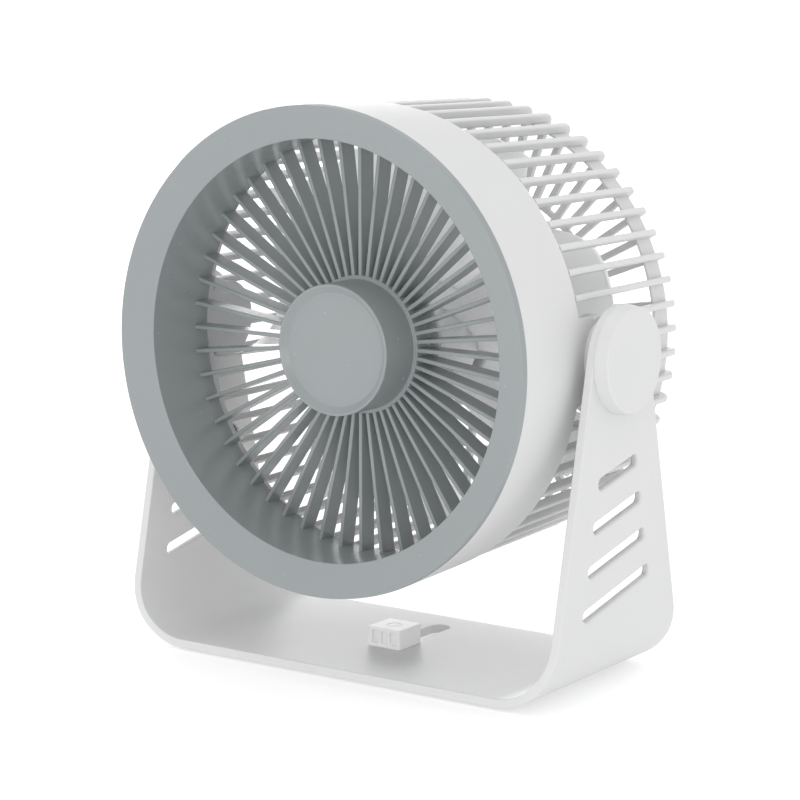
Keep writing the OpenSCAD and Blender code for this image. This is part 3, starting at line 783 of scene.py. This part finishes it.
def offset_loop(loop, distance):
    """The loop moved to its left by a distance, which is inwards on a counter-clockwise loop."""
    moved = []
    for i, here in enumerate(loop):
        a, b = loop[i - 1], loop[(i + 1) % len(loop)]
        d0 = Vector((here[0] - a[0], here[1] - a[1])).normalized()
        d1 = Vector((b[0] - here[0], b[1] - here[1])).normalized()
        n0, n1 = Vector((-d0.y, d0.x)), Vector((-d1.y, d1.x))
        n = (n0 + n1).normalized()
        reach = distance / max(n.dot(n0), 0.4)
        moved.append((here[0] + n.x * reach, here[1] + n.y * reach))
    return moved


def clean_loop(loop, counter_clockwise):
    """Drops points that lie on each other, and sets the way round."""
    kept = [p for i, p in enumerate(loop) if math.dist(p, loop[i - 1]) > 0.05]
    return kept if (area_of(kept) > 0) == counter_clockwise else kept[::-1]


def inside(point, loop):
    hit = False
    x, y = point
    for (ax, ay), (bx, by) in zip(loop, loop[1:] + loop[:1]):
        if (ay > y) != (by > y) and x < (bx - ax) * (y - ay) / (by - ay) + ax:
            hit = not hit
    return hit


def on_plate(point, rims):
    """Whether a point is inside the first rim, the outline, and in none of the others, the holes."""
    return inside(point, rims[0]) and not any(inside(point, hole) for hole in rims[1:])


def edge_rows(edge, steps=3):
    """A rounded wall through the plate, as (offset from the outline, depth)."""
    rows = [(edge * (1 - math.sin(a)), edge * (1 - math.cos(a)))
            for a in [math.pi / 2 * k / steps for k in range(steps + 1)]]
    return rows + [(0.0, PLATE_T / 2)] + [(inset, PLATE_T - depth) for inset, depth in reversed(rows)]


def plate_net(rims):
    """Triangles over the flat plate: the points, each point's place on the rims or None, and the faces."""
    coarse, fine, row_step, clear_squared = 7.0, 2.0, 6.5, 1.6
    points, edges = [], []
    for rim in rims:
        base = len(points)
        points += [Vector(p) for p in rim]
        edges += [(base + k, base + (k + 1) % len(rim)) for k in range(len(rim))]
    keep_off = list(points)
    foot = np.arange(-FLAT_HALF, FLAT_HALF, coarse)
    bend = np.arange(FLAT_HALF, ARM_FROM + 1, fine)
    arm = np.arange(ARM_FROM + coarse, along_plate(STAND_HIGH.z), coarse)
    for s in sorted({round(float(s), 3) for s in np.concatenate([foot, bend, -bend, arm, -arm])}):
        for row in range(-7, 8):
            p = (s, row * row_step)
            if on_plate(p, rims) and min((Vector(p) - q).length_squared for q in keep_off) > clear_squared:
                points.append(Vector(p))
    out, _, faces, origin, _, _ = delaunay_2d_cdt(points, edges, [], 2, 1e-5)
    place = [next((i for i in ids if i < len(keep_off)), None) for ids in origin]
    kept = [face for face in faces if on_plate(sum((out[i] for i in face), Vector((0, 0))) / len(face), rims)]
    return out, place, kept


def make_stand():
    """One flat plate with holes and rounded edges, then bent to its U."""
    edges, loops = [PLAIN_EDGE], [clean_loop(stand_outline(), True)]
    for edge, hole in stand_holes():
        edges.append(edge)
        loops.append(clean_loop(hole, False))
    loop_rows = [edge_rows(edge) for edge in edges]
    bm = bmesh.new()
    walls = []
    for level in range(len(loop_rows[0])):
        wall = []
        for loop, rows in zip(loops, loop_rows):
            inset, depth = rows[level]
            shifted = offset_loop(loop, inset) if inset > 0 else loop
            wall.append([bm.verts.new(bent(s, y, depth)) for s, y in shifted])
        walls.append(wall)
    for wall, after in zip(walls, walls[1:]):
        for a, b in zip(wall, after):
            skin(bm, a, b)
    points, place, faces = plate_net([offset_loop(loop, rows[0][0]) for loop, rows in zip(loops, loop_rows)])
    for wall, depth in ((walls[0], 0.0), (walls[-1], PLATE_T)):
        rim = [v for loop in wall for v in loop]
        verts = [rim[place[i]] if place[i] is not None else bm.verts.new(bent(p.x, p.y, depth))
                 for i, p in enumerate(points)]
        for face in faces:
            corners = [verts[i] for i in face]
            if len(set(corners)) > 2:
                bm.faces.new(corners)
    finish_piece(bm, "stand_plate", "stand", "white_stand", ["stand_bracket"], 40)


def make_caps():
    """Plain round caps over the pivots, with a little draft."""
    radius, inset = CAP_HIGH.z, 4.2
    for side, name in ((-1, "left_pivot_cap"), (1, "right_pivot_cap")):
        face, base = side * CAP_HIGH.x, side * (HALF_W + 0.02)
        floor = base + side * inset
        turned_piece(name + "_disc", [
            (0, face, 0), (radius - 0.6, face, 0.7), (radius + 0.3, base, 0.1), (radius - 4, base, 0.3),
            (radius - 5, floor, 0.5), (0, floor, 0)],
            "stand", "white_stand", [name], 128, tilt_point, False, 5)


def make_feet():
    """Four soft pads with a shallow dish below."""
    pad_r, ring_r, dish_r, dish = 6.8, 5.7, 5.2, 0.25
    end_in, edge_in = 8, 11
    top = PADS_HIGH.z
    profile = rounded([(0, dish, 0), (dish_r, dish, 0.3), (ring_r, 0, 0.2), (pad_r, 0, 0.5),
                       (pad_r, top, 0.3), (0, top, 0)], False, 3)
    bm = bmesh.new()
    for x in (-1, 1):
        for y in (-1, 1):
            centre = Vector((x * (FLAT_HALF - end_in), STAND_Y + y * (HALF_DEPTH - edge_in), 0)) * MM
            lathe(bm, profile, 64, upright_point, False, centre)
    finish_piece(bm, "foot_pad_set", "stand", "foot_rubber", ["foot_pads"], 40)


# ---- Hook block ----

def carve(piece, cutter_bm, name):
    """Cuts a bmesh out of a piece, and applies the cut."""
    mesh = bpy.data.meshes.new(name)
    bmesh.ops.recalc_face_normals(cutter_bm, faces=cutter_bm.faces)
    cutter_bm.to_mesh(mesh)
    cutter_bm.free()
    cutter = bpy.data.objects.new(name, mesh)
    bpy.context.scene.collection.objects.link(cutter)
    cut = piece.modifiers.new("cut", "BOOLEAN")
    cut.operation = "DIFFERENCE"
    cut.solver = "EXACT"
    cut.object = cutter
    bpy.context.view_layer.update()
    evaluated = piece.evaluated_get(bpy.context.evaluated_depsgraph_get())
    made = bpy.data.meshes.new_from_object(evaluated)
    piece.modifiers.clear()
    piece.data = made
    bpy.data.objects.remove(cutter)


def block_at(bm, low, high, radius=0.0):
    """A block from low to high in millimetres, with its upright edges rounded."""
    x0, y0, z0 = low
    x1, y1, z1 = high
    outline = rounded([(x0, y0, radius), (x1, y0, radius), (x1, y1, radius), (x0, y1, radius)], True, 3)
    loft(bm, [[Vector((x, y, z)) * MM for x, y in outline] for z in (z0, z1)])


def soften(piece, width):
    """Rounds the sharp edges of a piece without changing its own mesh."""
    bevel = piece.modifiers.new("soft_edges", "BEVEL")
    bevel.width = width * MM
    bevel.segments = 3
    bevel.limit_method = "ANGLE"
    bevel.angle_limit = math.radians(40)
    weigh_normals(piece)


def make_hook():
    """The block with three pockets in its front, its neck through the slot, and a plug over its screw."""
    low, high = BLOCK_LOW, BLOCK_HIGH
    top = STAND_LOW.z + PLATE_T
    mid_y = (low.y + high.y) / 2
    centre = Vector((0, mid_y, 0)) * MM
    neck_in, neck_half = 3.9, 6.4
    neck_low = (low.x + neck_in, mid_y - neck_half, low.z)
    neck_high = (high.x - neck_in, mid_y + neck_half, top + 0.5)
    bm = bmesh.new()
    block_at(bm, (low.x, low.y, top), (high.x, high.y, high.z), 0.9)
    block_at(bm, neck_low, neck_high, 0.4)
    body = finish_piece(bm, "hook_body", "hook", "white_clip", ["hook_block"], 40, weighted=False)
    pocket_half, pocket_pitch, pocket_deep = 1.5, 4.6, 1.6
    pocket_low, pocket_high = top + 1.8, top + 7.2
    cut = bmesh.new()
    for i in (-1, 0, 1):
        middle = i * pocket_pitch
        block_at(cut, (middle - pocket_half, low.y - 1, pocket_low),
                 (middle + pocket_half, low.y + pocket_deep, pocket_high))
    screw_r, screw_floor, past_top = 3.1, high.z - 1.6, high.z + 2
    screw_hole = [(0, screw_floor), (screw_r, screw_floor), (screw_r, past_top), (0, past_top)]
    lathe(cut, screw_hole, 48, upright_point, False, centre)
    carve(body, cut, "hook_cutter")
    soften(body, 0.35)
    plug_r, plug_top, plug_base = screw_r - 0.2, high.z - 0.15, high.z - 0.3
    turned_piece("hook_plug", [
        (0, plug_top, 0), (plug_r, plug_top, 0.2), (plug_r, plug_base, 0.05), (0, plug_base, 0)],
        "hook", "white_clip", (), 64, upright_point, False, 3, centre)


# ---- Rear hub ----

def make_button():
    """A dished cap above a flange that holds it behind the rear cover."""
    top, stem_end = BUTTON_HIGH.y, BUTTON_LOW.y
    cap_r, flange_r, stem_r, above_axis = 5.4, 6.6, 2, 8.0
    centre = PIVOT + Vector((0, 0, above_axis)) * MM
    flange_top = COVER_HIGH.y - 2.4
    flange_base = flange_top - 1
    turned_piece("button_cap", [
        (0, top - 0.35, 0), (2.6, top - 0.35, 6), (4.9, top, 0.5), (cap_r, top - 0.6, 0.4),
        (cap_r, flange_top, 0.1), (flange_r, flange_top, 0.2), (flange_r, flange_base, 0.2),
        (stem_r, flange_base, 0.2), (stem_r, stem_end, 0.3), (0, stem_end, 0)],
        "button", "button_grey", ["power_button"], 64, fan_point, False, 4, centre)


# ---- CAD nodes that keep their own shape ----

def dress_cad_nodes():
    slots = {s["node"]: s["material_slot"] for s in frame["record"]["subparts"]}
    for name, node in frame["nodes"].items():
        if node.hide_render:
            continue
        node.data.materials.clear()
        node.data.materials.append(MATERIALS[slots[name]])


make_materials()
make_camera()
make_world()
make_floor()
make_lights()

make_bezel()
make_fins()
make_hub_barrel()
make_rim()
make_hub_disc()
make_drum()
make_bosses()
make_ribs()
make_cage_rings()
make_impeller()
make_stand()
make_caps()
make_feet()
make_hook()
make_button()
dress_cad_nodes()

bpy.context.scene.view_settings.view_transform = "Standard"
